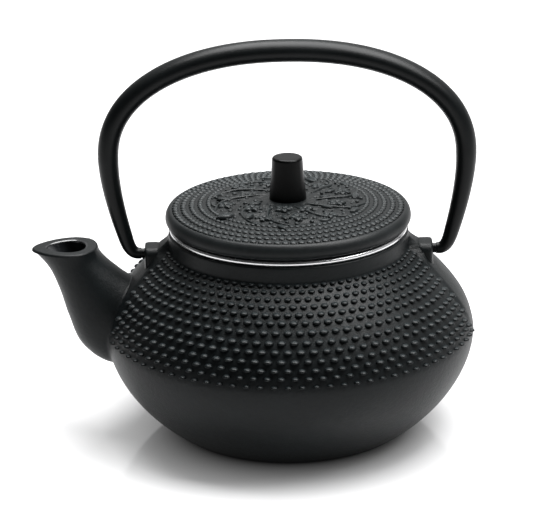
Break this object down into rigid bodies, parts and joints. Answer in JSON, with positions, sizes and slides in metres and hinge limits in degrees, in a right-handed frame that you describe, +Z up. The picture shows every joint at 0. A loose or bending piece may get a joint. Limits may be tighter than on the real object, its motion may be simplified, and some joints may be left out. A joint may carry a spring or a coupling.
{
  "type": "cast iron teapot",
  "caption": "Small cast iron teapot with a hobnail body, upright bail handle, short spout, loose lid with a knob and a lift-out stainless mesh infuser.",
  "frame": {"origin": "centre of the flat base, on the body's axis", "axes": "+Z up along the body's axis; the spout points towards -X; +Y is the back as seen with the spout on the left"},
  "size_m": [0.1381, 0.115, 0.1249],
  "materials": {
    "body_iron": "satin black enamel paint over hobnail casting",
    "lid_iron": "satin black, fine cast relief",
    "knob_iron": "smooth satin black",
    "handle_iron": "smooth satin black",
    "infuser_steel": "polished stainless sheet",
    "mesh_steel": "fine woven stainless wire",
    "screw_steel": "stainless fastener"
  },
  "bodies": {
    "pot": {"pot": "body_iron"},
    "infuser": {"infuser_rim": "infuser_steel", "infuser_mesh_wall": "mesh_steel", "infuser_base_band": "infuser_steel", "infuser_mesh_floor": "mesh_steel"},
    "lid": {"lid": "lid_iron", "lid_knob": "knob_iron", "knob_washer": "screw_steel", "knob_screw": "screw_steel"},
    "handle": {"handle": "handle_iron"}
  },
  "joints": [
    {"name": "infuser_lift", "type": "slide", "parent": "pot", "child": "infuser", "axis": [0, 0, 1], "range_m": [0, 0.013]},
    {"name": "lid_lift", "type": "slide", "parent": "infuser", "child": "lid", "axis": [0, 0, 1], "range_m": [0, 0.015]},
    {"name": "handle_swing", "type": "hinge", "parent": "pot", "child": "handle", "pos_m": [0, 0, 0.0571], "axis": [1, 0, 0], "range_deg": [-104, 104]}
  ]
}
